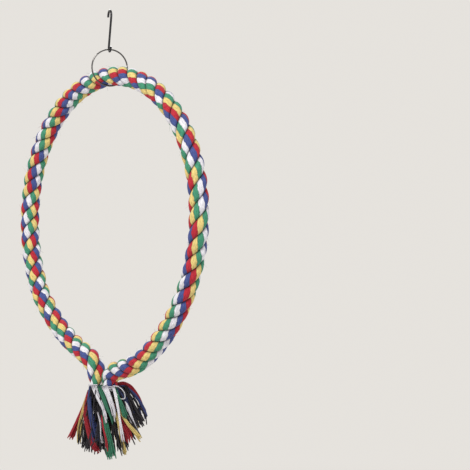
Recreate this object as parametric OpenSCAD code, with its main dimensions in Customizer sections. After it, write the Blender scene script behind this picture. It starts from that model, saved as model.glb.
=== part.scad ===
// A round swing for a pet bird: a loop of thick three-strand cotton rope on a core wire, hung by a
// wire ring and an S-hook, its two ends tied side by side and undone into a tassel.
// Z is up, the loop lies in the XZ plane, and the origin is where the cage bar bears in the hook.

/* [Loop] */
// Diameter of the rope loop at the middle of the rope
loop_d = 290; // [230:5:350]
// How much fuller the loop is above its middle than below, as a share of its width
egg_share = 0.033; // [0:0.001:0.06]
// Diameter of the laid rope
rope_d = 19; // [15:0.5:22]
// Length of rope in which a strand goes round once, as a multiple of the rope's diameter
lay_share = 2.558; // [2.3:0.002:3.2]
// Depth of the groove between two strands, as a share of the rope's radius
groove_share = 0.19; // [0.1:0.01:0.25]
// Room left between two strands
strand_gap = 0.12; // [0.1:0.02:0.3]
// Turn of all three strands round the rope, in degrees
strand_turn = 0; // [0:5:360]
// Diameter of the core wire that stiffens the loop
core_d = 1.6; // [1:0.1:2.2]

/* [Neck and binding] */
// Distance from the bottom of the loop's middle line down to the binding
neck_drop = 19.5; // [18:0.5:30]
// Distance by which the tied ends lie to one side of the loop's lowest point
neck_shift = 10; // [4:0.5:12]
// Lift of the rope that comes to the neck from the near side
neck_lift = 34; // [20:1:38]
// Angle between the loop's plane and the line through the two rope ends, in degrees
neck_turn = 14; // [0:1:60]
// Room between the two rope ends where they lie side by side
neck_gap = 0.6; // [0.4:0.1:2]
// Length of the laid rope ends below the middle of the binding
neck_tail = 4; // [3:0.5:8]
// Diameter of the binding cord
binding_d = 1.3; // [1:0.1:2]
// Rise of the binding cord in one turn
binding_pitch = 1.9; // [1.8:0.1:3]
// Number of turns of the binding cord
binding_turns = 2; // [1:1:4]

/* [Tassel] */
// Length of the front bunch of loose yarn, below the rope ends
front_len = 67; // [40:1:90]
// Width of the front bunch at its tips
front_w = 86; // [40:1:96]
// Length of the back bunch of loose yarn
back_len = 42; // [25:1:60]
// Width of the back bunch at its tips
back_w = 24; // [20:1:34]

/* [Ring and hook] */
// Inside diameter of the wire ring
ring_inner_d = 35; // [33:0.5:45]
// Diameter of the ring's wire
ring_wire_d = 1.5; // [1.2:0.1:2.4]
// Depth by which the ring's wire presses into the soft rope
ring_bite = 1.1; // [0.4:0.1:1.6]
// Turn of the ring away from square to the rope, in degrees
ring_turn = 20; // [0:1:25]
// Diameter of the thickest cage bar that the hook takes
bar_d = 8; // [5:0.5:12]
// Distance between the seats of the hook's two bends
hook_reach = 39; // [34:0.5:55]
// Diameter of the hook's wire
hook_wire_d = 2.2; // [1.6:0.1:2.8]
// Inside diameter of the hook's lower bend
hook_eye_d = 5; // [4:0.5:9]

/* [Hidden] */

// Clearances
wire_clear = 0.12;
core_clear = 0.15;
bar_clear = 1.2;
cord_clear = 0.25;
tassel_gap = 0.2;

// Colours
steel = [0.62, 0.63, 0.65];
nickel = [0.72, 0.72, 0.72];
cord_white = [0.93, 0.93, 0.95];
yarn_colours = [
    [0.94, 0.93, 0.96], [0.20, 0.55, 0.40], [0.92, 0.79, 0.40],
    [0.78, 0.16, 0.22], [0.24, 0.29, 0.58], [0.16, 0.15, 0.16]
];
strand_colours = [[0.75, 0.45, 0.45], [0.45, 0.60, 0.50], [0.45, 0.48, 0.65]];

// Ring: its wire's middle line
ring_wire_r = ring_wire_d / 2;
ring_r = ring_inner_d / 2 + ring_wire_r;
ring_top_z = -hook_reach + wire_clear + ring_wire_r;
ring_z = ring_top_z - ring_r;
ring_cut = ring_wire_d / 4;
ring_cut_at = 8;

// Rope: its three soft strands are laid so hard that each is squeezed to a rounded wedge
rope_r = rope_d / 2;
rope_lay = rope_d * lay_share;
core_r = core_d / 2;
wedge_half = 60;
groove_r = rope_r * (1 - groove_share);
wedge_tip_share = 1.06;
wedge_tip_r = (core_r + core_clear) / cos(wedge_half) * wedge_tip_share;
strand_off_share = 0.56;
strand_off = rope_r * strand_off_share;
strand_r = rope_r - strand_off;

// Loop: it hangs on the ring's lowest point, and its two ends turn down into the neck
loop_r = loop_d / 2;
wire_top_z = ring_z - ring_r + ring_wire_r;
rope_top_z = wire_top_z - ring_bite + rope_r;
loop_z = rope_top_z - loop_r;
binding_z = loop_z - loop_r - neck_drop;
rope_end_z = binding_z - neck_tail;
neck_dir = [cos(neck_turn), sin(neck_turn), 0];
neck_face = [sin(neck_turn), -cos(neck_turn), 0];
neck_mid = [-neck_shift, 0, 0];
waist_share = 0.18;
neck_half = rope_r * (1 - waist_share) + neck_gap / 2;
near_from = 120;
far_from = 136;
near_reach_shares = [0.91, 0.31];
far_reach_shares = [0.73, 0.246];
straight_neck = neck_drop / 13;

function loop_point(t) =
    [loop_r * sin(t) * (1 + egg_share * cos(t)), 0, loop_z + loop_r * cos(t)];
function unit(v) = v / norm(v);
function mix(a, b, k) = a + (b - a) * k;
function bezier(p, k) =
    let (a = mix(p[0], p[1], k), b = mix(p[1], p[2], k), c = mix(p[2], p[3], k))
    mix(mix(a, b, k), mix(b, c, k), k);

// One rope end, from the loop down to where the yarns come undone; side is -1 or 1
function end_curve(side) =
    let (
        from = side < 0 ? near_from : far_from,
        start = loop_point(side * from),
        heading = unit(start - loop_point(side * (from - 1))),
        foot = neck_mid + neck_half * side * neck_dir + [0, 0, binding_z + straight_neck],
        span = norm(foot - start),
        reach = span * (side < 0 ? near_reach_shares : far_reach_shares),
        rise = side < 0 ? neck_lift : 0
    )
    [start, start + heading * reach[0] + [0, 0, rise], foot + [0, 0, reach[1]], foot];
function end_foot(side) = neck_mid + neck_half * side * neck_dir + [0, 0, rope_end_z];

// The rope's middle line as close points, its running length, and a place at any length
bend_steps = 60;
loop_steps = near_from + far_from;
right_end = concat(
    [for (i = [1 : bend_steps]) bezier(end_curve(1), i / bend_steps)], [end_foot(1)]);
left_end = concat(
    [end_foot(-1)], [for (i = [bend_steps : -1 : 1]) bezier(end_curve(-1), i / bend_steps)]);
path = concat(
    left_end,
    [for (i = [0 : loop_steps]) loop_point(mix(-near_from, far_from, i / loop_steps))],
    right_end);
run = [for (i = 0, s = 0; i < len(path);
            i = i + 1, s = s + (i < len(path) ? norm(path[i] - path[i - 1]) : 0)) s];
rope_len = run[len(run) - 1];
run_x = [for (i = [0 : len(path) - 1]) [run[i], path[i][0]]];
run_y = [for (i = [0 : len(path) - 1]) [run[i], path[i][1]]];
run_z = [for (i = [0 : len(path) - 1]) [run[i], path[i][2]]];
function place(s) = [lookup(s, run_x), lookup(s, run_y), lookup(s, run_z)];
look = rope_d / 8;
function along(s) =
    unit(place(min(s + look, rope_len)) - place(max(s - look, 0)));

// Frame of the rope: sideways is close to Y all the way, outward lies in the loop's plane
function sideways(t) = unit([0, 1, 0] - t * t[1]);
function around(s, a, off) =
    let (t = along(s), b = sideways(t), n = cross(b, t))
    place(s) + off * (cos(a) * n + sin(a) * b);

// The binding draws the strands a little together, and the ring's wire pushes the underside up
waist_half = rope_d * 0.65;
function waist(s) =
    let (d = max(0, min(s, rope_len - s) - neck_tail))
    1 - waist_share * exp(-pow(d / waist_half, 2));
bite_half = rope_d * 0.55;
function press(p) =
    let (
        low = (rope_top_z - p[2]) / rope_r,
        depth = max(0, min(1, low)),
        near = exp(-pow(p[0] / bite_half, 2))
    )
    p[2] > loop_z ? p + [0, 0, (ring_bite + wire_clear) * depth * near] : p;

// A tube through rings of points, closed at both ends, all of it triangles. The two walls of a strand
// are its edges before and after its inmost pair of points, and are cut into triangles alike
module tube(rings) {
    sides = len(rings[0]);
    last = len(rings) - 1;
    points = [for (r = rings, p = r) p];
    walls = [
        for (i = [0 : last - 1], j = [0 : sides - 1], half = [0, 1])
        let (k = (j + 1) % sides, a = i * sides, b = a + sides)
        k == 0 ? (half == 0 ? [a + j, b + j, a + k] : [b + j, b + k, a + k])
        : half == 0 ? [a + j, b + j, b + k] : [a + j, b + k, a + k]
    ];
    caps = [
        for (j = [1 : sides - 2], top = [0, 1])
        top == 0 ? [0, j, j + 1]
        : [last * sides, last * sides + j + 1, last * sides + j]
    ];
    polyhedron(points, concat(walls, caps), 10);
}

// Strand: rings of eight points, square to the rope. Six lie on the rounded outer face, whose two
// ends stand in the grooves, and two on the inmost edge beside the core wire
rings_per_lay = 14;
strand_rings = ceil(rope_len / rope_lay * rings_per_lay);
face_shares = [-0.6, -0.2, 0.2, 0.6];
function wall_angle(r) = wedge_half - asin(strand_gap / 2 / r);
strand_profile = concat(
    [[-wall_angle(groove_r), groove_r]],
    [for (k = face_shares) [wedge_half * k, rope_r * (1 - groove_share * k * k)]],
    [[wall_angle(groove_r), groove_r],
     [wall_angle(wedge_tip_r), wedge_tip_r], [-wall_angle(wedge_tip_r), wedge_tip_r]]);
function strand_angle(s, number) = s * 360 / rope_lay + 120 * number + strand_turn;
function strand_middle(s, number) = around(s, strand_angle(s, number), strand_off * waist(s));
function strand_ring(s, number) =
    [for (p = strand_profile) press(around(s, strand_angle(s, number) + p[0], p[1] * waist(s)))];

module strand(number) {
    color(strand_colours[number])
        tube([for (i = [0 : strand_rings]) strand_ring(rope_len * i / strand_rings, number)]);
}

module rope_strand_1() {
    strand(0);
}

module rope_strand_2() {
    strand(1);
}

module rope_strand_3() {
    strand(2);
}

// Core wire: along the rope's middle line, ending above the neck. Its rings lie closest in the bends
core_rings = 110;
core_sides = 6;
core_short = rope_d;
core_crowd_share = 0.45;
function core_ring(k) =
    let (s = mix(core_short, rope_len - core_short, k - core_crowd_share * sin(360 * k) / 2 / PI))
    [for (j = [0 : core_sides - 1]) press(around(s, 360 * j / core_sides, core_r))];

module core_wire() {
    color(steel)
        tube([for (i = [0 : core_rings]) core_ring(i / core_rings)]);
}

// Ring: a wire bent to a circle round the rope, its butt gap on the side away from the hook
module hanging_ring() {
    gap = ring_cut / ring_r * 180 / PI;
    color(nickel)
        translate([0, 0, ring_z])
        rotate([0, 0, -ring_turn])
        rotate([90, 0, 90])
        rotate([0, 0, ring_cut_at + gap / 2])
        rotate_extrude(angle = 360 - gap, $fn = 96)
        translate([ring_r, 0])
        circle(ring_wire_r, $fn = 24);
}

// Hook: two bends that open to opposite sides, joined by a slanted shank
hook_wire_r = hook_wire_d / 2;
bar_bend_r = (bar_d + bar_clear) / 2 + hook_wire_r;
eye_bend_r = hook_eye_d / 2 + hook_wire_r;
bar_bend_z = hook_wire_r - bar_bend_r;
eye_bend_z = -hook_reach - hook_wire_r + eye_bend_r;
bend_gap_z = bar_bend_z - eye_bend_z;
hook_tilt = asin((bar_bend_r + eye_bend_r) / bend_gap_z);
shank_len = bend_gap_z * cos(hook_tilt);
hook_tip_len = hook_wire_d;

module wire_arc(bend_r, sweep) {
    rotate([90, 0, 0])
        rotate_extrude(angle = sweep, $fn = 96)
        translate([bend_r, 0])
        circle(hook_wire_r, $fn = 24);
}

module s_hook() {
    color(steel)
        rotate([0, 0, -ring_turn])
        translate([0, 0, bar_bend_z])
        rotate([0, hook_tilt, 0]) {
            wire_arc(bar_bend_r, 180);
            translate([-bar_bend_r, 0, -hook_tip_len])
                cylinder(h = hook_tip_len, r = hook_wire_r, $fn = 24);
            translate([bar_bend_r, 0, -shank_len])
                cylinder(h = shank_len, r = hook_wire_r, $fn = 24);
            translate([bar_bend_r + eye_bend_r, 0, -shank_len])
                rotate([180, 0, 0]) {
                    wire_arc(eye_bend_r, 180);
                    translate([eye_bend_r, 0, -hook_tip_len])
                        cylinder(h = hook_tip_len, r = hook_wire_r, $fn = 24);
                }
        }
}

// Binding: one cord wound round both rope ends, as a stadium-shaped coil
binding_r = binding_d / 2;
binding_out = rope_r * (1 - waist_share) + cord_clear + binding_r;
binding_side = 2 * neck_half;
binding_lap = 2 * binding_side + 2 * PI * binding_out;
binding_sides = 6;
binding_rings = 24;

// Place on the stadium at a distance from the start of a lap, as [along the pair, across it]
function stadium(d) =
    let (arc = PI * binding_out, m = d - binding_lap * floor(d / binding_lap))
    m < binding_side ? [m - neck_half, -binding_out]
    : m < binding_side + arc
        ? let (a = (m - binding_side) / binding_out * 180 / PI - 90)
          [neck_half + binding_out * cos(a), binding_out * sin(a)]
    : m < 2 * binding_side + arc ? [neck_half - (m - binding_side - arc), binding_out]
    : let (a = (m - 2 * binding_side - arc) / binding_out * 180 / PI + 90)
      [-neck_half + binding_out * cos(a), binding_out * sin(a)];
function binding_point(turns) =
    let (q = stadium(turns * binding_lap + neck_half))
    neck_mid + q[0] * neck_dir - q[1] * neck_face
    + [0, 0, binding_z + binding_pitch * (turns - binding_turns / 2)];
binding_steps = binding_turns * binding_rings;
binding_line = [for (i = [0 : binding_steps]) binding_point(i / binding_rings)];
function binding_ring(i) =
    let (
        t = unit(binding_line[min(i + 1, binding_steps)] - binding_line[max(i - 1, 0)]),
        u = unit([0, 0, 1] - t * t[2]),
        v = cross(t, u)
    )
    [for (j = [0 : binding_sides - 1])
        let (a = 360 * j / binding_sides)
        binding_line[i] + binding_r * (cos(a) * u + sin(a) * v)];
binding_self_gap = min([
    for (i = [0 : binding_steps], j = [i + binding_rings / 2 : 1 : binding_steps])
    norm(binding_line[i] - binding_line[j])
]) - binding_d;

module neck_binding() {
    echo("least gap of the binding cord to itself", binding_self_gap);
    color(cord_white)
        tube([for (i = [0 : binding_steps]) binding_ring(i)]);
}

// Tassel: in each rope end every strand comes undone into five coloured bundles round its
// charcoal core yarns, and the bunch fans out as it falls
bundle_off_share = 0.66;
bundle_share = 0.28;
heart_share = 0.34;
lock_sides = 6;
lock_steps = 7;
swell_share = 0.45;
tip_share = 0.55;
short_edge_share = 0.3;
length_shares = [1, 0.93, 0.97, 0.88, 0.95, 0.9];

// A bunch: side of the neck, length, tip widths along and across the pair of rope ends, drift of
// its middle along and across, and how late that drift comes
front_bunch = [-1, front_len, front_w, front_w * 0.34, rope_r * 1.8, rope_r * 0.5, 0.8];
back_bunch = [1, back_len, back_w, back_w * 0.8, rope_r * 2.3, -rope_r * 2.3, 0.5];

// Where a bundle leaves its rope end, as [along the pair, across it] from that end's middle
function strand_seat(side, number) =
    let (
        s = side < 0 ? 0 : rope_len,
        p = strand_middle(s, number) - place(s)
    )
    [p * neck_dir, p * neck_face];
function lock_seat(side, number, bundle) =
    let (
        middle = strand_seat(side, number),
        a = 72 * bundle + atan2(middle[1], middle[0])
    )
    bundle == 5 ? middle
    : middle + bundle_off_share * strand_r * waist(0) * [cos(a), sin(a)];
function seat_reach(side, axis) =
    max([for (number = [0 : 2], bundle = [0 : 5]) abs(lock_seat(side, number, bundle)[axis])]);

// The whole bunch is the layout of its seats, moved and spread by one rule at each height
function lock_ring(bunch, number, bundle, reach, k) =
    let (
        seat = lock_seat(bunch[0], number, bundle),
        fall = k * length_shares[(bundle + 2 * number) % 6]
            * (1 - short_edge_share * pow(seat[0] / reach[0], 2)),
        drift = pow(fall, bunch[6]),
        spread = fall / (1 - short_edge_share),
        fan_x = mix(1, bunch[2] / 2 / reach[0], spread),
        fan_y = mix(1, bunch[3] / 2 / reach[1], spread),
        thick = (bundle == 5 ? heart_share : bundle_share) * strand_r * waist(0)
            * (k < 1 ? 1 : tip_share),
        x = neck_half * bunch[0] + bunch[4] * drift + seat[0] * fan_x,
        y = bunch[5] * drift + seat[1] * fan_y
    )
    [for (j = [0 : lock_sides - 1])
        let (
            a = 360 * j / lock_sides,
            ox = x + thick * mix(1, fan_x, swell_share) * cos(a),
            oy = y + thick * mix(1, fan_y, swell_share) * sin(a)
        )
        neck_mid + ox * neck_dir + oy * neck_face
        + [0, 0, rope_end_z - tassel_gap - bunch[1] * fall]];

module locks(bunch, bundle) {
    reach = [seat_reach(bunch[0], 0), seat_reach(bunch[0], 1)];
    color(yarn_colours[bundle])
        for (number = [0 : 2])
        tube([for (i = [0 : lock_steps])
            lock_ring(bunch, number, bundle, reach, i / lock_steps)]);
}

module front_tassel_white() {
    locks(front_bunch, 0);
}

module front_tassel_green() {
    locks(front_bunch, 1);
}

module front_tassel_yellow() {
    locks(front_bunch, 2);
}

module front_tassel_red() {
    locks(front_bunch, 3);
}

module front_tassel_blue() {
    locks(front_bunch, 4);
}

module front_tassel_charcoal() {
    locks(front_bunch, 5);
}

module back_tassel_white() {
    locks(back_bunch, 0);
}

module back_tassel_green() {
    locks(back_bunch, 1);
}

module back_tassel_yellow() {
    locks(back_bunch, 2);
}

module back_tassel_red() {
    locks(back_bunch, 3);
}

module back_tassel_blue() {
    locks(back_bunch, 4);
}

module back_tassel_charcoal() {
    locks(back_bunch, 5);
}

echo("length of the rope's middle line", rope_len);
echo("radius of the grooves and of the strands' inmost edge", groove_r, wedge_tip_r);

s_hook();
hanging_ring();
core_wire();
rope_strand_1();
rope_strand_2();
rope_strand_3();
neck_binding();
front_tassel_white();
front_tassel_green();
front_tassel_yellow();
front_tassel_red();
front_tassel_blue();
front_tassel_charcoal();
back_tassel_white();
back_tassel_green();
back_tassel_yellow();
back_tassel_red();
back_tassel_blue();
back_tassel_charcoal();
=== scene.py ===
import math
import random

import bmesh
import bpy
import numpy as np
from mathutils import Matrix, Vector


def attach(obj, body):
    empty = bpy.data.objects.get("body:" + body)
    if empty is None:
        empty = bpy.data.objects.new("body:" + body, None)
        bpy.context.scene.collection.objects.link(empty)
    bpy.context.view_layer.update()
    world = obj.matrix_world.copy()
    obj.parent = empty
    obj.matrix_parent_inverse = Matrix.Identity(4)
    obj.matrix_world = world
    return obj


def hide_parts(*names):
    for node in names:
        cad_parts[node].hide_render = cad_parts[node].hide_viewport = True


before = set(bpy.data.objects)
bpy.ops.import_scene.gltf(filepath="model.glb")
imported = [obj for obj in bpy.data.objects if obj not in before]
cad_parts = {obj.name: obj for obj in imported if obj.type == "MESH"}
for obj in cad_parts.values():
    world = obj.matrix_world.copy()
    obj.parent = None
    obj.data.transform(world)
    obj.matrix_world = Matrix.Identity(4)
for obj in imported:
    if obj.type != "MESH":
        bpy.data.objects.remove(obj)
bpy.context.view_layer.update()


# Camera and light. A long lens stands 1.9 m from the loop, a little below its middle, and looks
# past the loop's right side. Soft light comes from above left, and the studio behind is pale.
CAMERA_AZIMUTH = math.radians(54.7)
CAMERA_RISE = math.radians(-1.9)
CAMERA_AWAY = 1.9
SENSOR_WIDTH = 36
FRAME_WIDTH = 0.47
LOOP_MIDDLE = Vector((0, 0, -0.21048))
AIM_RIGHT, AIM_DOWN = 0.1256, 0.013
STUDIO_COLOUR = (0.79, 0.764, 0.725, 1)
AMBIENT = 0.66

to_camera = Vector((math.sin(CAMERA_AZIMUTH) * math.cos(CAMERA_RISE),
                    -math.cos(CAMERA_AZIMUTH) * math.cos(CAMERA_RISE), math.sin(CAMERA_RISE)))
to_right = Vector((math.cos(CAMERA_AZIMUTH), math.sin(CAMERA_AZIMUTH), 0))
to_top = to_camera.cross(to_right)

camera_data = bpy.data.cameras.new("camera")
camera_data.sensor_width = SENSOR_WIDTH
camera_data.lens = SENSOR_WIDTH * CAMERA_AWAY / FRAME_WIDTH
camera_data.clip_start, camera_data.clip_end = 0.1, 20
camera = bpy.data.objects.new("camera", camera_data)
bpy.context.scene.collection.objects.link(camera)
bpy.context.scene.camera = camera
camera.location = LOOP_MIDDLE + to_camera * CAMERA_AWAY
aim = LOOP_MIDDLE + to_right * AIM_RIGHT - to_top * AIM_DOWN
camera.rotation_mode = "QUATERNION"
camera.rotation_quaternion = (aim - camera.location).to_track_quat("-Z", "Y")
bpy.context.scene.view_settings.view_transform = "Standard"


def soft_lamp(name, nearer, right, up, size, watts, colour):
    """A round lamp at this place from the loop's middle, in metres, that faces the loop."""
    data = bpy.data.lights.new(name, "AREA")
    data.shape, data.size, data.energy, data.color = "DISK", size, watts, colour
    lamp = bpy.data.objects.new(name, data)
    bpy.context.scene.collection.objects.link(lamp)
    lamp.location = LOOP_MIDDLE + to_camera * nearer + to_right * right + to_top * up
    lamp.rotation_mode = "QUATERNION"
    lamp.rotation_quaternion = (LOOP_MIDDLE - lamp.location).to_track_quat("-Z", "Y")


soft_lamp("key_lamp", 1.3, -0.7, 1.4, size=0.8, watts=25, colour=(1, 0.985, 0.96))
soft_lamp("fill_lamp", 1.2, 1.5, 0.2, size=1.2, watts=7, colour=(0.95, 0.97, 1))
soft_lamp("rear_lamp", -1.5, -0.3, 1.2, size=1.2, watts=16, colour=(1, 1, 1))
soft_lamp("edge_lamp", 0.5, -1.4, 0.22, size=0.15, watts=3.0, colour=(1, 1, 1))


def math_node(nodes, links, operation, *values):
    """A maths node whose inputs are sockets or plain numbers."""
    node = nodes.new("ShaderNodeMath")
    node.operation = operation
    for socket, value in zip(node.inputs, values):
        if isinstance(value, (int, float)):
            socket.default_value = value
        else:
            links.new(value, socket)
    return node.outputs[0]


world = bpy.data.worlds.new("studio")
bpy.context.scene.world = world
world.use_nodes = True
nodes, links = world.node_tree.nodes, world.node_tree.links
nodes.clear()
ray = nodes.new("ShaderNodeLightPath")
seen = math_node(nodes, links, "MAXIMUM",
                 ray.outputs["Is Camera Ray"], ray.outputs["Is Glossy Ray"])
seen = math_node(nodes, links, "MAXIMUM", seen, ray.outputs["Is Transmission Ray"])
ambient = nodes.new("ShaderNodeBackground")
ambient.inputs["Color"].default_value = (1, 1, 1, 1)
ambient.inputs["Strength"].default_value = AMBIENT
studio = nodes.new("ShaderNodeBackground")
studio.inputs["Color"].default_value = STUDIO_COLOUR
studio.inputs["Strength"].default_value = 1
shown = nodes.new("ShaderNodeMixShader")
world_out = nodes.new("ShaderNodeOutputWorld")
links.new(seen, shown.inputs[0])
links.new(ambient.outputs[0], shown.inputs[1])
links.new(studio.outputs[0], shown.inputs[2])
links.new(shown.outputs[0], world_out.inputs[0])


# Studio floor. It is a pale matte disc under the swing, which fades into the studio's own colour
# before its edge, and keeps the swing's soft shadow.
FLOOR_Z = -0.53
FLOOR_R = 1.1
FADE_FROM, FADE_TO = 0.35, 0.95
FLOOR_COLOUR = (0.62, 0.60, 0.57, 1)


def ranged(nodes, links, value, low, high, low_out, high_out, smooth=False):
    """A value carried from one range to another, and kept inside it."""
    node = nodes.new("ShaderNodeMapRange")
    if smooth:
        node.interpolation_type = "SMOOTHSTEP"
    for name, number in (("From Min", low), ("From Max", high),
                         ("To Min", low_out), ("To Max", high_out)):
        node.inputs[name].default_value = number
    links.new(value, node.inputs["Value"])
    return node.outputs["Result"]


disc = bmesh.new()
bmesh.ops.create_circle(disc, cap_ends=True, cap_tris=False, segments=96, radius=FLOOR_R)
bmesh.ops.translate(disc, verts=disc.verts, vec=(0, 0, FLOOR_Z))
floor_mesh = bpy.data.meshes.new("studio_floor")
disc.to_mesh(floor_mesh)
disc.free()
floor = bpy.data.objects.new("studio_floor", floor_mesh)
bpy.context.scene.collection.objects.link(floor)
floor_paint = bpy.data.materials.new("studio_floor")
floor_paint.use_nodes = True
nodes, links = floor_paint.node_tree.nodes, floor_paint.node_tree.links
nodes.clear()
floor_place = nodes.new("ShaderNodeTexCoord")
flat = nodes.new("ShaderNodeVectorMath")
flat.operation = "MULTIPLY"
flat.inputs[1].default_value = (1, 1, 0)
centre_out = nodes.new("ShaderNodeVectorMath")
centre_out.operation = "LENGTH"
matte = nodes.new("ShaderNodeBsdfDiffuse")
matte.inputs["Color"].default_value = FLOOR_COLOUR
clear = nodes.new("ShaderNodeBsdfTransparent")
faded = nodes.new("ShaderNodeMixShader")
floor_out = nodes.new("ShaderNodeOutputMaterial")
links.new(floor_place.outputs["Object"], flat.inputs[0])
links.new(flat.outputs["Vector"], centre_out.inputs[0])
links.new(ranged(nodes, links, centre_out.outputs["Value"], FADE_FROM, FADE_TO, 0, 1, True),
          faded.inputs[0])
links.new(matte.outputs[0], faded.inputs[1])
links.new(clear.outputs[0], faded.inputs[2])
links.new(faded.outputs[0], floor_out.inputs[0])
floor.data.materials.append(floor_paint)


# Rope. Three strands are laid round a stiff core wire, which keeps the circle. Each is made of five
# bundles of dyed cotton yarn, one in each colour, twisted against the lay, so they show as slanting
# bands. The strands are laid so hard that each is squeezed to a rounded wedge.

# The rope's run, in mm, goes from the left end's cut up round the loop to the right end's cut. The
# loop hangs on the ring, and both ends turn down side by side into the neck under it.
MM = 0.001
ROPE_D = 19
ROPE_R = ROPE_D / 2
ROPE_LAY = ROPE_D * 2.558
LOOP_R = 145.0
LOOP_Z = -210.48
TOP_FULLER = 0.033
ROPE_TOP_Z = LOOP_Z + LOOP_R
NECK_DROP = 19.5
BINDING_Z = LOOP_Z - LOOP_R - NECK_DROP
FOOT_ABOVE_TIE, CUT_BELOW_TIE = 1.5, 4
ROPE_END_Z = BINDING_Z - CUT_BELOW_TIE
NECK_TURN = math.radians(14)
NECK_MIDDLE = np.array([-10.0, 0, 0])
WAIST, WAIST_REACH = 0.18, 12.35
NECK_GAP = 0.3
NECK_HALF = ROPE_R * (1 - WAIST) + NECK_GAP
NEAR_FROM, FAR_FROM = 120, 136
BEND_STEPS = 60
RING_DENT, DENT_REACH = 1.25, ROPE_D * 0.55
neck_along = np.array([math.cos(NECK_TURN), math.sin(NECK_TURN), 0])
neck_face = np.array([math.sin(NECK_TURN), -math.cos(NECK_TURN), 0])


def loop_point(degrees):
    """The rope's middle at this angle from the loop's top. The loop is fuller near its top."""
    t = math.radians(degrees)
    return np.array([LOOP_R * math.sin(t) * (1 + TOP_FULLER * math.cos(t)), 0,
                     LOOP_Z + LOOP_R * math.cos(t)])


def rope_end(side, leaves, first_reach, last_reach, lift):
    """The points of one rope end, from where it leaves the loop, down its neck, to its cut. The
    reaches say how full the bend is at its start and its foot, and lift raises its start."""
    start = loop_point(side * leaves)
    heading = start - loop_point(side * (leaves - 1))
    heading /= np.linalg.norm(heading)
    neck = NECK_MIDDLE + NECK_HALF * side * neck_along
    foot = neck + np.array([0, 0, BINDING_Z + FOOT_ABOVE_TIE])
    span = np.linalg.norm(foot - start)
    a = start + heading * span * first_reach + np.array([0, 0, lift])
    b = foot + np.array([0, 0, span * last_reach])
    k = np.linspace(0, 1, BEND_STEPS + 1)[1:, None]
    curve = (start * (1 - k) ** 3 + 3 * a * k * (1 - k) ** 2 + 3 * b * k * k * (1 - k)
             + foot * k ** 3)
    return np.vstack([curve, neck + np.array([0, 0, ROPE_END_Z])])


def length_along(points):
    """The length of a line from its start to each of its points."""
    return np.concatenate([[0], np.cumsum(np.linalg.norm(np.diff(points, axis=0), axis=1))])


left_end = rope_end(-1, NEAR_FROM, first_reach=0.91, last_reach=0.31, lift=34)
right_end = rope_end(1, FAR_FROM, first_reach=0.73, last_reach=0.246, lift=0)
route = np.vstack([left_end[::-1], [loop_point(d) for d in range(-NEAR_FROM, FAR_FROM + 1)],
                   right_end])
run = length_along(route)
ROPE_LEN = run[-1]
LOOK = ROPE_D / 8


def unit(v):
    """The same directions, each of length one."""
    return v / np.linalg.norm(v, axis=-1, keepdims=True)


def place(s):
    """The rope's middle at this length along it."""
    return np.stack([np.interp(s, run, route[:, i]) for i in range(3)], axis=-1)


def along(s):
    """The rope's heading, looked at over a short way on both sides."""
    return unit(place(np.minimum(s + LOOK, ROPE_LEN)) - place(np.maximum(s - LOOK, 0)))


def waist(s):
    """The share of the rope's thickness that the binding leaves it at this place."""
    from_tie = np.maximum(0, np.minimum(s, ROPE_LEN - s) - CUT_BELOW_TIE)
    return 1 - WAIST * np.exp(-(from_tie / WAIST_REACH) ** 2)


def way_out(s, degrees):
    """Directions square to the rope, at these angles round it."""
    t = along(s)
    sideways = unit(np.array([0, 1, 0]) - t * t[..., 1:2])
    inward = np.cross(sideways, t)
    a = np.radians(degrees)[..., None]
    if a.ndim > t.ndim:
        sideways, inward = sideways[:, None], inward[:, None]
    return np.cos(a) * inward + np.sin(a) * sideways


def pressed(p):
    """The soft underside of the rope gives way where the ring's wire bears on it."""
    depth = np.clip((ROPE_TOP_Z - p[..., 2]) / ROPE_R, 0, 1)
    near = np.exp(-(p[..., 0] / DENT_REACH) ** 2) * (p[..., 2] > LOOP_Z)
    moved = p.copy()
    moved[..., 2] += RING_DENT * depth * near
    return moved


# The dyes of the yarn, and the five of them that lie round each strand. Charcoal is its heart.
YARN_COLOURS = {
    "white": (0.90, 0.88, 0.92),
    "green": (0.070, 0.32, 0.185),
    "yellow": (0.88, 0.68, 0.24),
    "red": (0.56, 0.030, 0.048),
    "blue": (0.075, 0.105, 0.31),
    "charcoal": (0.030, 0.027, 0.032),
}
COLOUR_ROUND = ["red", "blue", "white", "green", "yellow"]
BUNDLE_TURN = 360 / len(COLOUR_ROUND)
YARNS_SHOWN = 4
BAND_SWAY = 0.5
STRAND_STEP = 1.0

# A strand's own angle is OWN_TURN times the angle round the rope, and its bundles turn BACK_TURN
# times in each lay. WANDER is how much more each strand had turned, in degrees, as it was laid by
# hand, at that many lays from the left end.
OWN_TURN = 2.0
BACK_TURN = -2.46
WANDER_LAYS = np.linspace(0, 19.1, 14)
WANDER = [[251, 299, 335, 200, 103, 47, 21, -28, -78, -48, 80, 152, 219, 281],
          [252, 247, 313, 258, 194, 181, 268, 225, 230, 321, 498, 580, 669, 667],
          [328, 164, 273, 198, 109, 42, -138, -160, -209, -149, -9, -47, 61, 148]]

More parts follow.
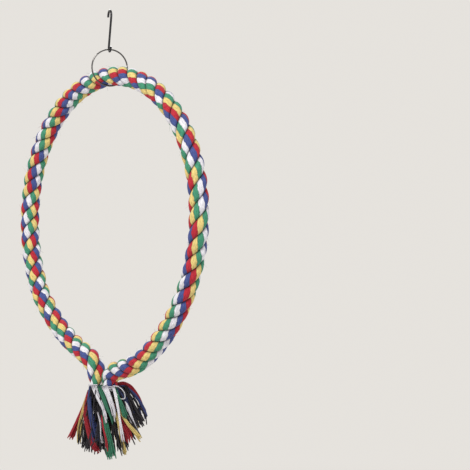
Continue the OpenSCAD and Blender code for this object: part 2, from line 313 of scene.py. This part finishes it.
# The wedge's section, as angles round the rope and radii: its face, both walls and its inner tip.
CROWN_R, FACE_FALL, FACE_POWER = 9.8, 0.27, 2.2
FACE = np.linspace(-57, 57, 31)
WALL = np.array([58.6, 59.4, 59.2, 57.5])
WALL_R = np.array([7.0, 6.2, 4.3, 2.0])
TIP_R = 1.3
SECTION_TURN = np.concatenate([FACE, WALL, [0], -WALL[::-1]])
SECTION_R = np.concatenate([CROWN_R * (1 - FACE_FALL * np.abs(FACE / 60) ** FACE_POWER),
                            WALL_R, [TIP_R], WALL_R[::-1]])
OWN_ANGLE = np.concatenate([FACE * OWN_TURN, np.linspace(118, 242, 9),
                            [360 + FACE[0] * OWN_TURN]])
FACE_FROM_R = 7.2
BUNDLE_SWELL, LAY_SWELL = 0.010, 0.006
# Painted shade in the seams between strands: points of the section at these radii get this much of
# it, so the walls and the inner tip are darkest.
SEAM_R, SEAM_PAINTED_SHADE = [6.8, 7.5, 8.0, 8.8], [1, 0.85, 0.35, 0]


def noise_on(nodes, links, vector, scale, size, detail, grain=0.6):
    """Noise of this size on a vector that is stretched by the scale."""
    stretch = nodes.new("ShaderNodeMapping")
    stretch.inputs["Scale"].default_value = scale
    links.new(vector, stretch.inputs["Vector"])
    noise = nodes.new("ShaderNodeTexNoise")
    noise.inputs["Scale"].default_value = size
    noise.inputs["Detail"].default_value = detail
    noise.inputs["Roughness"].default_value = grain
    links.new(stretch.outputs["Vector"], noise.inputs["Vector"])
    return noise.outputs["Fac"]


def multiplied(nodes, links, colour, factor, by):
    """A colour that is multiplied by another where the factor is 1."""
    node = nodes.new("ShaderNodeMix")
    node.data_type, node.blend_type = "RGBA", "MULTIPLY"
    node.inputs["B"].default_value = by
    links.new(factor, node.inputs["Factor"])
    if isinstance(colour, tuple):
        node.inputs["A"].default_value = colour
    else:
        links.new(colour, node.inputs["A"])
    return node.outputs["Result"]


def cotton(name, colours, bands=False):
    """Spun cotton: matte, with fibres along the yarn, and painted shade from the piece's own
    attribute. A laid strand shows its bundles as bands, with painted shade along their edges.
    """
    paint = bpy.data.materials.new(name)
    paint.use_nodes = True
    nodes, links = paint.node_tree.nodes, paint.node_tree.links
    shader = nodes["Principled BSDF"]
    shader.inputs["Roughness"].default_value = 0.92
    shader.inputs["Specular IOR Level"].default_value = 0.25
    shader.inputs["Sheen Weight"].default_value = 0.06
    shader.inputs["Sheen Roughness"].default_value = 0.5
    uv = nodes.new("ShaderNodeUVMap")
    uv.uv_map = "yarn_run"
    uv_out = uv.outputs["UV"]
    fibre = noise_on(nodes, links, uv_out, (0.12, 4.2 if bands else 5.0, 1), 2.0, 5)
    blotch_at = nodes.new("ShaderNodeTexCoord")
    blotch = noise_on(nodes, links, blotch_at.outputs["Object"], (1, 1, 1), 90, 2)
    if bands:
        parts = nodes.new("ShaderNodeSeparateXYZ")
        links.new(uv_out, parts.inputs[0])
        sway = noise_on(nodes, links, uv_out, (0.22, 0.9, 1), 1.0, 2)
        across = math_node(nodes, links, "MULTIPLY_ADD", sway, BAND_SWAY, parts.outputs["Y"])
        shifted = math_node(nodes, links, "ADD", across, 0.5 - BAND_SWAY / 2)
        around = math_node(nodes, links, "FRACT",
                           math_node(nodes, links, "DIVIDE", shifted, len(colours)))
        ramp = nodes.new("ShaderNodeValToRGB")
        ramp.color_ramp.interpolation = "CONSTANT"
        stops = ramp.color_ramp.elements
        stops[1].position = 1 / len(colours)
        for i in range(2, len(colours)):
            stops.new(i / len(colours))
        for stop, colour in zip(stops, colours):
            stop.color = colour + (1,)
        links.new(around, ramp.inputs["Fac"])
        dye = ramp.outputs["Color"]
        in_band = math_node(nodes, links, "FRACT", shifted)
        from_edge = math_node(nodes, links, "ABSOLUTE",
                              math_node(nodes, links, "SUBTRACT", in_band, 0.5))
        yarns = math_node(nodes, links, "SINE",
                          math_node(nodes, links, "MULTIPLY", in_band, YARNS_SHOWN * 2 * math.pi))
        relief = math_node(nodes, links, "MULTIPLY_ADD", yarns, 0.10,
                           math_node(nodes, links, "MULTIPLY_ADD", from_edge, -1.4, fibre))
    else:
        dye = colours[0] + (1,)
        twist_map = nodes.new("ShaderNodeMapping")
        twist_map.inputs["Scale"].default_value = (0.8, 5.0, 1)
        twist = nodes.new("ShaderNodeTexWave")
        twist.wave_type, twist.bands_direction = "BANDS", "DIAGONAL"
        twist.inputs["Scale"].default_value = 0.55
        twist.inputs["Distortion"].default_value = 1.2
        twist.inputs["Detail"].default_value = 2
        links.new(uv_out, twist_map.inputs["Vector"])
        links.new(twist_map.outputs["Vector"], twist.inputs["Vector"])
        relief = math_node(nodes, links, "ADD", fibre, twist.outputs["Fac"])
    worn = ranged(nodes, links, fibre, 0.34, 0.60, 0.85, 0)
    dye = multiplied(nodes, links, dye, worn, (0.46, 0.46, 0.49, 1))
    dye = multiplied(nodes, links, dye, ranged(nodes, links, blotch, 0.35, 0.65, 0.35, 0),
                     (0.72, 0.72, 0.74, 1))
    # Painted shade in the creases between the bundles, darkest at each band's edges.
    if bands:
        painted_crease_shade = ranged(nodes, links, from_edge, 0.36, 0.5, 0, 0.55, True)
        dye = multiplied(nodes, links, dye, painted_crease_shade, (0.45, 0.43, 0.46, 1))
    # Painted shade: the piece's own attribute darkens the colour where shade falls, in the seams
    # between strands and in the tassel.
    depth = nodes.new("ShaderNodeAttribute")
    depth.attribute_name = "tucked_in"
    dye = multiplied(nodes, links, dye, depth.outputs["Fac"], (0.33, 0.31, 0.33, 1))
    links.new(dye, shader.inputs["Base Color"])
    bump = nodes.new("ShaderNodeBump")
    bump.inputs["Strength"].default_value = 0.55
    bump.inputs["Distance"].default_value = 0.0003
    links.new(relief, bump.inputs["Height"])
    links.new(bump.outputs["Normal"], shader.inputs["Normal"])
    return paint


# Loose yarn is painted darker than laid yarn. This is painted shade, for its fibres that stand
# apart and shade each other. These are the shares of the dye's brightness that are left.
LOOSE_YARN_SHADE, LOOSE_YARN_SHADE_SHARES = 0.68, {"white": 1.0, "charcoal": 1.0, "yellow": 0.85}
dye_and_shade = {name: cotton("cotton_" + name,
                     [tuple(c * LOOSE_YARN_SHADE_SHARES.get(name, LOOSE_YARN_SHADE) for c in colour)])
        for name, colour in YARN_COLOURS.items()}
laid_cotton = cotton("laid_cotton", [YARN_COLOURS[name] for name in COLOUR_ROUND], bands=True)


class Skein:
    """Gathers closed tubes, each given as rings of points in mm, into one piece."""

    def __init__(self):
        self.points, self.quads, self.ends, self.uvs = [], [], [], []
        self.tucked, self.paints = [], []
        self.count = 0

    def tube(self, rings, length, paint=0, tucked=None, across=None):
        """Adds a tube. Its UV runs in mm along it, and round it in turns or by the values across;
        tucked says how much shade is painted on each point."""
        n, sides = rings.shape[:2]
        start = self.count
        self.points.append(rings.reshape(-1, 3))
        self.count += n * sides
        i, j = np.meshgrid(np.arange(n - 1), np.arange(sides), indexing="ij")
        k = (j + 1) % sides
        low, high = start + i * sides, start + (i + 1) * sides
        quads = np.stack([low + j, low + k, high + k, high + j], axis=-1).reshape(-1, 4)
        self.quads.append(quads)
        self.ends.append(np.array([start + s for s in range(sides - 1, -1, -1)]))
        self.ends.append(np.array([start + (n - 1) * sides + s for s in range(sides)]))
        u = np.stack([length[i], length[i], length[i + 1], length[i + 1]], axis=-1)
        if across is None:
            pattern_shift = 0.37 * len(self.points)
            v = np.stack([j, j + 1, j + 1, j], axis=-1) / sides + pattern_shift
        else:
            v = np.stack([across[i, j], across[i, j + 1], across[i + 1, j + 1], across[i + 1, j]],
                         axis=-1)
        self.uvs.append(np.stack([u, v], axis=-1).reshape(-1, 2))
        self.uvs.append(np.zeros((2 * sides, 2)))
        self.tucked.append(np.zeros(n * sides) if tucked is None else tucked.reshape(-1))
        self.paints += [paint] * (len(quads) + 2)

    def piece(self, name, paints):
        """The finished piece, with its UV map and its painted shade as an attribute."""
        mesh = bpy.data.meshes.new(name)
        points = np.concatenate(self.points) * MM
        loops, sizes = [], []
        for quads, low, high in zip(self.quads, self.ends[0::2], self.ends[1::2]):
            loops += [quads.reshape(-1), low, high]
            sizes += [np.full(len(quads), 4), [len(low)], [len(high)]]
        loops, sizes = np.concatenate(loops), np.concatenate(sizes)
        mesh.vertices.add(len(points))
        mesh.vertices.foreach_set("co", points.astype(np.float32).ravel())
        mesh.loops.add(len(loops))
        mesh.loops.foreach_set("vertex_index", loops.astype(np.int32))
        mesh.polygons.add(len(sizes))
        mesh.polygons.foreach_set("loop_start",
                                  np.concatenate([[0], np.cumsum(sizes)[:-1]]).astype(np.int32))
        mesh.polygons.foreach_set("material_index", np.array(self.paints, np.int32))
        mesh.update(calc_edges=True)
        uv = mesh.uv_layers.new(name="yarn_run")
        uv.data.foreach_set("uv", np.concatenate(self.uvs).astype(np.float32).ravel())
        tucked = mesh.attributes.new("tucked_in", "FLOAT", "POINT")
        tucked.data.foreach_set("value", np.concatenate(self.tucked).astype(np.float32))
        mesh.shade_smooth()
        mesh.validate()
        made = bpy.data.objects.new(name, mesh)
        bpy.context.scene.collection.objects.link(made)
        for paint in paints:
            mesh.materials.append(paint)
        return made


def strand_turn(s, number):
    """The strand's angle round the rope."""
    return s * 360 / ROPE_LAY + 120 * number


def band_phase(s, number):
    """The strand's own angle at which its first colour lies."""
    lays = s / ROPE_LAY
    return np.interp(lays, WANDER_LAYS, WANDER[number]) + 360 * BACK_TURN * lays


for number in range(3):
    s = np.linspace(0, ROPE_LEN, int(ROPE_LEN / STRAND_STEP) + 1)
    across = (OWN_ANGLE[None, :] - band_phase(s, number)[:, None]) / BUNDLE_TURN
    bundle = np.cos(2 * math.pi * across[:, :-1])
    uneven = np.sin(s / 6.1 + 1.9 * number)[:, None]
    outer = (SECTION_R > FACE_FROM_R)[None, :]
    radius = SECTION_R * waist(s)[:, None]
    radius = radius * (1 + outer * (BUNDLE_SWELL * bundle + LAY_SWELL * uneven))
    turn = strand_turn(s, number)[:, None] + SECTION_TURN
    rings = pressed(place(s)[:, None] + radius[..., None] * way_out(s, turn))
    strand = Skein()
    # Painted shade darkens the strand's walls and tip, down in the seams between strands.
    strand.tube(rings, s, 0, np.tile(np.interp(SECTION_R, SEAM_R, SEAM_PAINTED_SHADE), (len(s), 1)), across)
    laid = strand.piece(f"laid_strand_{number + 1}", [laid_cotton])
    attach(laid, "loop")
    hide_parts(f"rope_strand_{number + 1}")


# Stray fibres. Cotton that has been handled sheds short hairs in all five colours. Each is rooted
# in the face of a strand, and lies along the rope or stands off it.
HAIRS, HAIR_R, HAIR_TAPER, HAIR_BEND = 420, 0.1, 0.6, 0.6
HAIR_ROOT_R, HAIR_FROM_END = 8.9, 6
NO_HAIRS_WAY = np.array([0.31, 0.87, 0.39])
random.seed(7)


def hair(root, way, bend, length):
    """The rings of one three-sided hair, which sets off one way and bends another."""
    k = np.linspace(0, 1, 5)[:, None]
    line = root + way * length * k + bend * length * k * k * HAIR_BEND
    t = unit(np.gradient(line, axis=0))
    a = unit(np.cross(t, NO_HAIRS_WAY))
    b = np.cross(t, a)
    r = (HAIR_R * (1 - HAIR_TAPER * k[:, 0]))[:, None, None]
    turn = np.radians([0, 120, 240])[None, :, None]
    return line[:, None] + r * (np.cos(turn) * a[:, None] + np.sin(turn) * b[:, None])


fuzz = Skein()
for _ in range(HAIRS):
    s = np.array([random.uniform(HAIR_FROM_END, ROPE_LEN - HAIR_FROM_END)])
    number = random.randrange(3)
    angle = random.uniform(-40, 40)
    phase = float(band_phase(s, number)[0])
    colour = int(((angle * OWN_TURN - phase) / BUNDLE_TURN + 0.5) % len(COLOUR_ROUND))
    out = way_out(s, strand_turn(s, number) + angle)[0]
    root = pressed(place(s)[0] + out * HAIR_ROOT_R * waist(s)[0])
    way = unit(out * random.uniform(0.15, 0.6) + along(s)[0] * random.choice((-1, 1)))
    bend = out * random.uniform(0.1, 0.9) + np.array([0, 0, random.uniform(-0.4, 0.1)])
    rings = hair(root, way, bend, random.uniform(1.5, 4.5) + 4.5 * random.random() ** 3)
    fuzz.tube(rings, np.arange(5) * 1.0, colour)
stray = fuzz.piece("stray_fibres", [dye_and_shade[name] for name in COLOUR_ROUND])
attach(stray, "loop")


# Steel wire. The S-hook is bent from hard-drawn steel wire and tumbled bright; the ring is softer
# nickel-plated wire, closed to a butt joint; the hidden core wire inside the rope is plain.
DRAWN_LINES, CLOUD_SIZE = (900, 900, 60), 420


def wire_steel(name, colour, roughness, scratch):
    """Drawn wire, with fine lines along it and a surface that is a little cloudy."""
    paint = bpy.data.materials.new(name)
    paint.use_nodes = True
    nodes, links = paint.node_tree.nodes, paint.node_tree.links
    shader = nodes["Principled BSDF"]
    shader.inputs["Metallic"].default_value = 1
    wire_place = nodes.new("ShaderNodeTexCoord").outputs["Object"]
    lines = noise_on(nodes, links, wire_place, DRAWN_LINES, 1, 5, grain=0.5)
    cloud = noise_on(nodes, links, wire_place, (1, 1, 1), CLOUD_SIZE, 3, grain=0.5)
    rough = ranged(nodes, links, cloud, 0.3, 0.7, roughness * 0.75, roughness * 1.35)
    tone = nodes.new("ShaderNodeMix")
    tone.data_type = "RGBA"
    tone.inputs["A"].default_value = tuple(c * 0.72 for c in colour) + (1,)
    tone.inputs["B"].default_value = colour + (1,)
    bump = nodes.new("ShaderNodeBump")
    bump.inputs["Strength"].default_value = scratch
    bump.inputs["Distance"].default_value = 0.00002
    links.new(rough, shader.inputs["Roughness"])
    links.new(cloud, tone.inputs["Factor"])
    links.new(tone.outputs["Result"], shader.inputs["Base Color"])
    links.new(lines, bump.inputs["Height"])
    links.new(bump.outputs["Normal"], shader.inputs["Normal"])
    return paint


def finish_node(name, paint):
    """Gives a CAD node its finish."""
    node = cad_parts[name]
    node.data.materials.clear()
    node.data.materials.append(paint)


# The hook's and the ring's colours are far darker than the steel's own: painted dark reflection,
# for the dark surroundings that the polished wire mirrors.
finish_node("s_hook", wire_steel("bright_steel", (0.065, 0.065, 0.07), 0.14, 0.4))
finish_node("hanging_ring", wire_steel("nickel_wire", (0.14, 0.135, 0.13), 0.15, 0.3))
finish_node("core_wire", wire_steel("plain_wire", (0.40, 0.40, 0.41), 0.45, 0.6))


# Neck binding. A pale cotton cord of two plies is wound tight round both rope ends, side by side.
# It leaves one slack loop at its right, and both ends of that loop go back under the turns.
BIND_R = 0.65
BIND_PITCH, BIND_TURNS, BIND_STEPS = 1.9, 2, 150
BIND_CLEAR = 0.25
BIND_OUT = ROPE_R * (1 - WAIST) + BIND_CLEAR + BIND_R
BIND_SIDE = 2 * NECK_HALF
BIND_LAP = 2 * BIND_SIDE + 2 * math.pi * BIND_OUT
PLY_LAY = 3.4
LOOP_PX, LOOP_PY = 109.4, 222.0


def spot(px, py, nearer):
    """The point seen at this pixel of the photograph, this many mm nearer than the loop's axis."""
    shift = (CAMERA_AWAY - nearer * MM) / CAMERA_AWAY
    return np.array(LOOP_MIDDLE + to_right * (px - LOOP_PX) * MM * shift
                    + to_top * (LOOP_PY - py) * MM * shift + to_camera * nearer * MM)


def stadium(d):
    """A place on one lap round both necks, as distances along the pair and across it."""
    arc, m = math.pi * BIND_OUT, d % BIND_LAP
    if m < BIND_SIDE:
        return m - NECK_HALF, -BIND_OUT
    if m < BIND_SIDE + arc:
        a = (m - BIND_SIDE) / BIND_OUT - math.pi / 2
        return NECK_HALF + BIND_OUT * math.cos(a), BIND_OUT * math.sin(a)
    if m < 2 * BIND_SIDE + arc:
        return NECK_HALF - (m - BIND_SIDE - arc), BIND_OUT
    a = (m - 2 * BIND_SIDE - arc) / BIND_OUT + math.pi / 2
    return -NECK_HALF + BIND_OUT * math.cos(a), BIND_OUT * math.sin(a)


def smooth_through(at, values, k):
    """A smooth curve through values, with slopes taken from the neighbours on both sides."""
    slopes = np.gradient(values, at)
    i = np.clip(np.searchsorted(at, k, side="right") - 1, 0, len(at) - 2)
    h = at[i + 1] - at[i]
    f = (k - at[i]) / h
    return ((1 + 2 * f) * (1 - f) ** 2 * values[i] + f * (1 - f) ** 2 * h * slopes[i]
            + f * f * (3 - 2 * f) * values[i + 1] + f * f * (f - 1) * h * slopes[i + 1])


def smooth_line(knots, count):
    """A smooth line through the knots, as each point's share of the way, the points, the length."""
    ahead = length_along(knots)
    k = np.linspace(0, 1, count)
    line = np.stack([smooth_through(ahead / ahead[-1], knots[:, i], k) for i in range(3)], axis=-1)
    return k, line, ahead[-1]


def round_tube(line, radii, sides, start_turn=0.0):
    """Rings of points round a line, whose frame is carried along without twisting."""
    t = unit(np.gradient(line, axis=0))
    side = np.cross(t[0], [0.3, 0.5, 0.8])
    sides_of = [side / np.linalg.norm(side)]
    for way in t[1:]:
        side = sides_of[-1] - way * (sides_of[-1] @ way)
        sides_of.append(side / np.linalg.norm(side))
    a = np.array(sides_of)
    b = np.cross(t, a)
    turn = (np.arange(sides) * 2 * math.pi / sides + start_turn)[None, :, None]
    return line[:, None] + np.asarray(radii)[:, None, None] * (
        np.cos(turn) * a[:, None] + np.sin(turn) * b[:, None])


def two_plies(skein, line, length, square_to, apart, ply_r, sides):
    """Two plies twisted round a line. The direction square_to is one that the line never takes."""
    t = unit(np.gradient(line, axis=0))
    side = unit(np.cross(t, np.array(square_to)))
    rise = np.cross(side, t)
    for ply in range(2):
        a = (length / PLY_LAY * 2 * math.pi + math.pi * ply)[:, None]
        plied = line + apart * (np.cos(a) * side + np.sin(a) * rise)
        skein.tube(round_tube(plied, np.full(len(line), ply_r), sides), length)


wound = []
for turns in np.arange(0, BIND_TURNS + 1e-6, 1 / BIND_STEPS):
    x, y = stadium(turns * BIND_LAP + NECK_HALF)
    wound.append(NECK_MIDDLE + x * neck_along - y * neck_face
                 + np.array([0, 0, BINDING_Z + BIND_PITCH * (turns - BIND_TURNS / 2)]))
wound = np.array(wound)
binding = Skein()
two_plies(binding, wound, length_along(wound), square_to=(0, 0, 1), apart=0.29, ply_r=0.36, sides=8)
slack = [(113, 386, 14.4), (117.5, 386.3, 15), (121.8, 389, 15), (124.8, 393.5, 15),
         (124.6, 398.6, 14.6), (121, 398.8, 14.6), (116.8, 393.8, 15), (113, 389.6, 14.6)]
k, line, length = smooth_line(np.array([spot(*knot) for knot in slack]) / MM, count=120)
two_plies(binding, line, k * length, square_to=to_camera, apart=0.24, ply_r=0.3, sides=7)
tied = binding.piece("binding_cord", [dye_and_shade["white"]])
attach(tied, "loop")
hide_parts("neck_binding")


# Tassel. Below the binding both rope ends come undone. Each bundle hangs as a lock of loose yarns,
# flat and smooth where it leaves the binding and frayed at its cut tips, round the charcoal hearts.
YARN_R, YARN_SIDES = 0.56, 6
CUT_END = 0.7
LOCK_STEPS, FAN_STEPS = 26, 22

# Depths count from the neck, which hangs nearer than the loop's axis. The tassel spreads from a
# heart behind that, and the more so in the picture rows below FULLER_FROM.
NECK_NEARER, HEART_BEHIND = 5.6, 3
FULLER, FULLER_FROM, FULLER_OVER = 0.6, 390, 56

# How a lock's yarns stray once they come free, how much painted shade it gets under the binding,
# towards its thin tips and where yarns sink behind the rest, and how uneven a fan's yarns are.
GOLDEN_TURN = 2.39996
FREE_FROM, FREE_POWER = 0.3, 1.5
SWAY, STRAY = 0.75, 1.1
BINDING_SHADE = 4.5
TIP_SHADE, SUNK_SHADE, SUNK_BY = 0.4, 0.45, 4
FOOT_UNEVEN, BULGE = 3.2, 2.2


def hanging_line(way, count):
    """A smooth line through picture points. The tassel grows fuller as it falls."""
    knots = []
    for px, py, nearer in way:
        fuller = 1 + FULLER * min(1, max(0, (py - FULLER_FROM) / FULLER_OVER))
        from_neck = (nearer + HEART_BEHIND) * fuller - HEART_BEHIND
        knots.append(spot(px, py, NECK_NEARER + from_neck) / MM)
    return smooth_line(np.array(knots), count)


def yarn_radii(k, n, swell, waves):
    """A loose yarn's radius along it. It swells towards its tip, and is drawn in at its cut end."""
    radii = YARN_R * (0.9 + swell * k + 0.05 * np.sin(k * waves + n))
    radii[-1] *= CUT_END
    return radii


def lock(skein, way, yarns, spread, depth, full=1.0, ragged=3.0):
    """One lock of yarns along a way of picture points; spread and depth are its half widths in mm
    at its top and its tips, full is the share of its yarns that stay in front down to the tips, and
    ragged is how unevenly it is cut, in mm."""
    k, line, length = hanging_line(way, LOCK_STEPS)
    t = unit(np.gradient(line, axis=0))
    wide = unit(np.cross(np.array(to_camera), t))
    deep = np.cross(t, wide)
    half_wide = spread[0] + (spread[1] - spread[0]) * k
    half_deep = depth[0] + (depth[1] - depth[0]) * k
    freed = np.clip((k - FREE_FROM) / (1 - FREE_FROM), 0, 1) ** FREE_POWER
    for n in range(yarns):
        out = math.sqrt((n + 0.5) / yarns)
        around = n * GOLDEN_TURN + random.uniform(-0.3, 0.3)
        sway = [SWAY * np.sin(k * random.uniform(2, 6) + random.uniform(0, 6.3)) * k
                for _ in range(2)]
        stray = [random.gauss(0, STRAY) * freed for _ in range(2)]
        across = out * math.cos(around) * half_wide + sway[0] + stray[0]
        ahead = out * math.sin(around) * half_deep + sway[1] + stray[1]
        yarn = line + wide * across[:, None] + deep * ahead[:, None]
        end = 1 - max(0, random.gauss(0.5, 0.7)) * ragged / length
        # Painted shade: under the binding, towards the tips of thin locks, and on yarns that sink
        # behind the rest.
        shade = np.clip(1 - k * length / BINDING_SHADE, 0, 1)
        if full < 1:
            shade = shade + TIP_SHADE * k * k
        if random.random() > full:
            end = random.uniform(0.45, 0.8)
            sunk = np.clip(k / end, 0, 1)
            yarn = yarn - np.array(to_camera) * (SUNK_BY * sunk ** 3)[:, None]
            shade = shade + SUNK_SHADE * sunk ** 2
        cut = k <= min(1, end)
        tucked = np.tile(np.clip(shade[cut], 0, 1)[:, None], (1, YARN_SIDES))
        rings = round_tube(yarn[cut], yarn_radii(k[cut], n, 0.2, 40), YARN_SIDES,
                           random.uniform(0, 1))
        skein.tube(rings, k[cut] * length, 0, tucked)


def fan(skein, yarns, top, foot):
    """Single yarns that hang crosswise, from one box of picture points and depths to another. Each
    box is two corners and how far the yarns change places in it."""
    for n in range(yarns):
        rank = (n + random.uniform(0.1, 0.9)) / yarns
        ends = []
        for low, high, jumble in (top, foot):
            mixed = rank + random.gauss(0, jumble)
            ends.append([a + (b - a) * (random.random() if i == 2 else min(1.05, max(-0.05, mixed)))
                         for i, (a, b) in enumerate(zip(low, high))])
        ends[1][1] += random.gauss(0, FOOT_UNEVEN)
        middle = [(a + b) / 2 for a, b in zip(*ends)]
        bulge = random.gauss(0, BULGE)
        upper = [(a + 2 * b) / 3 for a, b in zip(middle, ends[0])]
        lower = [(a + b) / 2 for a, b in zip(middle, ends[1])]
        way = [ends[0], [upper[0] + bulge * 0.6, upper[1], upper[2] + 1],
               [middle[0] + bulge, middle[1], middle[2] + random.gauss(0, 1.5)],
               [lower[0] + bulge * 0.6 + random.gauss(0, 1), lower[1], lower[2]], ends[1]]
        k, line, length = hanging_line(way, FAN_STEPS)
        rings = round_tube(line, yarn_radii(k, n, 0.25, 37), YARN_SIDES, random.uniform(0, 1))
        skein.tube(rings, k * length)


# Each lock: colour, yarns, way in picture points and mm towards the camera, half widths, half
# depths, and, where they are given, its share in front and its raggedness
FRONT_LOCKS = [
    ("white", 15, [(93.7, 385.6, -4), (96.8, 394, 0), (101, 403, 4), (104, 411, 7),
                   (105.5, 423, 9)], (2.5, 0.3), (0.9, 0.4), 0.4, 12),
    ("white", 19, [(104.8, 385.8, 5.2), (108.3, 394, 8), (111.2, 402.5, 10), (113.6, 410, 11),
                   (115.6, 422, 11)], (3.0, 0.4), (0.9, 0.5), 0.4, 12),
    ("white", 9, [(113.2, 386, 6.8), (115.1, 393, 9.5), (117.1, 402, 12), (119.2, 414, 14),
                  (120.7, 428, 15), (121.8, 442, 15)], (1.15, 0.3), (0.7, 0.4), 0.55),
    ("white", 3, [(98, 412, 1), (100.5, 422, 3), (102, 434, 3), (104, 444, 1)],
     (0.4, 1.8), (0.6, 2.2)),
    ("green", 14, [(99.6, 385.6, 0.8), (103, 395, 4.5), (106.5, 405, 7.5), (110, 414, 8.5),
                   (113.5, 424, 8)], (2.4, 0.8), (0.9, 0.8), 0.5),
    ("green", 12, [(114.5, 387, 4.5), (117.5, 396, 8), (121, 404, 10), (123.5, 412, 10),
                   (125.5, 419, 9)], (2.2, 1.6), (0.9, 1.2)),
    ("green", 26, [(103, 398, 1), (104.6, 412, 4), (106.5, 426, 7), (109.5, 442, 9), (112, 459, 9)],
     (1.0, 4.4), (1.0, 2.4)),
    ("blue", 20, [(91.3, 386.3, -7.5), (89.8, 396, -6), (90.3, 407, -4), (92.5, 418, -3),
                  (95.5, 430, -3), (98.5, 442, -4)], (1.5, 2.8), (0.9, 1.8)),
    ("blue", 12, [(101, 387, 0), (101, 400, -2), (104, 413, -4), (107, 428, -6), (108, 443, -7)],
     (1.5, 2.8), (0.9, 1.8)),
    ("red", 22, [(89.5, 390, -9), (87, 402, -8), (86.3, 414, -7), (88.5, 428, -5), (93, 441, -4),
                 (99, 453, -4)], (1.2, 3.2), (0.9, 2.0)),
    ("red", 14, [(89, 391, -12), (84, 406, -14), (79, 419, -15), (73.5, 432, -16),
                 (70.3, 439, -16)], (1.0, 2.3), (0.9, 1.8)),
    ("red", 30, [(111, 398, -1), (116, 411, 3), (121, 422, 6), (125.5, 432, 8), (128.5, 443, 8)],
     (1.0, 5.4), (1.0, 2.6)),
    ("red", 2, [(102, 415, 7), (103.5, 427, 10), (106, 440, 11), (107, 453, 11)],
     (0.4, 1.0), (0.4, 0.8)),
    ("yellow", 12, [(89, 392, -10), (85.5, 403, -11), (82.5, 415, -11), (80, 429, -12),
                    (79.7, 442, -12)], (1.0, 2.2), (0.9, 1.6)),
    ("yellow", 9, [(115, 398, 3), (121.5, 414, 8), (128, 423.5, 10), (135.5, 432.5, 11),
                   (142, 441, 11)], (0.5, 1.4), (0.5, 1.0)),
    ("yellow", 8, [(110, 398, 4), (114.5, 411, 8), (118.5, 421, 8), (121.5, 437, 6),
                   (125, 455, 5)], (0.9, 1.8), (0.8, 1.2)),
    ("white", 12, [(98, 390, -13), (97, 404, -17), (96, 420, -20), (94, 438, -21)],
     (1.8, 2.2), (1.2, 1.4)),
    ("green", 13, [(104, 390, -10), (105, 404, -15), (106, 421, -18), (107, 443, -20)],
     (1.8, 2.4), (1.2, 1.6)),
    ("yellow", 12, [(108, 390, -7), (111, 404, -12), (114, 420, -15), (117, 440, -16)],
     (1.8, 2.4), (1.2, 1.6)),
    ("blue", 13, [(94, 390, -12), (91, 404, -16), (88, 420, -18), (87, 438, -19)],
     (1.8, 2.4), (1.2, 1.6)),
    ("red", 13, [(101, 390, -12), (100, 406, -17), (101, 424, -20), (101, 444, -22)],
     (1.8, 2.4), (1.2, 1.6)),
]
BACK_LOCKS = [
    ("red", 15, [(117, 384.6, -3), (123.5, 383.4, -4), (130, 386.3, -5), (135.5, 393, -6),
                 (140.8, 402, -7), (144.5, 411, -8)], (1.9, 0.5), (1.2, 0.8)),
    ("blue", 14, [(116, 387, -3), (123.5, 387, -3.5), (131, 391.5, -4), (138, 399.5, -5),
                  (143, 409, -6), (146, 419, -6)], (2.0, 0.9), (1.2, 1.0)),
    ("blue", 14, [(112.5, 388, 3), (118, 391, 2.5), (123.5, 397, 1.5), (129, 406, 0),
                  (133, 417, -1)], (2.2, 1.4), (1.2, 1.2)),
    ("white", 9, [(118, 391, -5), (124, 399, -1), (128, 408, 4), (131.5, 420, 4.5),
                  (136.5, 432, 3)], (1.0, 1.3), (0.9, 0.8)),
    ("white", 12, [(116, 388, -6), (121, 398, -11), (124, 409, -15), (127, 420, -18),
                   (129, 430, -19)], (2.0, 2.0), (1.6, 1.4)),
    ("green", 14, [(115, 388, -5), (119, 398, -9), (121, 409, -12), (122, 420, -14),
                   (123, 430, -15)], (2.0, 2.2), (1.6, 1.6)),
    ("yellow", 14, [(118, 388, -7), (126, 397, -12), (132, 408, -16), (136, 419, -18),
                    (139, 428, -19)], (2.0, 2.0), (1.6, 1.6)),
    ("red", 12, [(118, 386, -9), (125, 391, -14), (131, 401, -18), (134, 413, -20),
                 (136, 424, -21)], (2.0, 1.8), (1.8, 1.6)),
]

# Each fan of charcoal yarns: how many, the box that they leave and the box that they hang to
FRONT_FANS = [
    (60, ((92, 388, -12), (108, 388, -4), 0.25), ((80, 446, -17), (108, 450, -4), 0.09)),
    (9, ((96, 390, -6), (106, 390, 0), 0.25), ((88, 446, -2), (106, 450, 8), 0.2)),
    (50, ((100, 388, -4), (117, 388, 2), 0.25), ((106, 452, -10), (129, 449, 10), 0.09)),
    (12, ((113, 392, -1), (118, 394, 3), 0.2), ((130, 436, 4), (141, 440, 9), 0.2)),
]
BACK_FANS = [
    (58, ((114, 389, -6), (126, 386, 3), 0.12), ((126, 428, -10), (146, 421, 4), 0.12)),
    (22, ((113, 389, -8), (122, 387, -3), 0.2), ((122, 430, -20), (142, 424, -10), 0.2)),
]

for bunch, locks, fans in (("front", FRONT_LOCKS, FRONT_FANS), ("back", BACK_LOCKS, BACK_FANS)):
    for colour in YARN_COLOURS:
        hank = Skein()
        for dye, yarns, way, *shape in locks:
            if dye == colour:
                lock(hank, way, yarns, *shape)
        if colour == "charcoal":
            for yarns, top, foot in fans:
                fan(hank, yarns, top, foot)
        hung = hank.piece(f"{bunch}_yarns_{colour}", [dye_and_shade[colour]])
        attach(hung, "loop")
        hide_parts(f"{bunch}_tassel_{colour}")
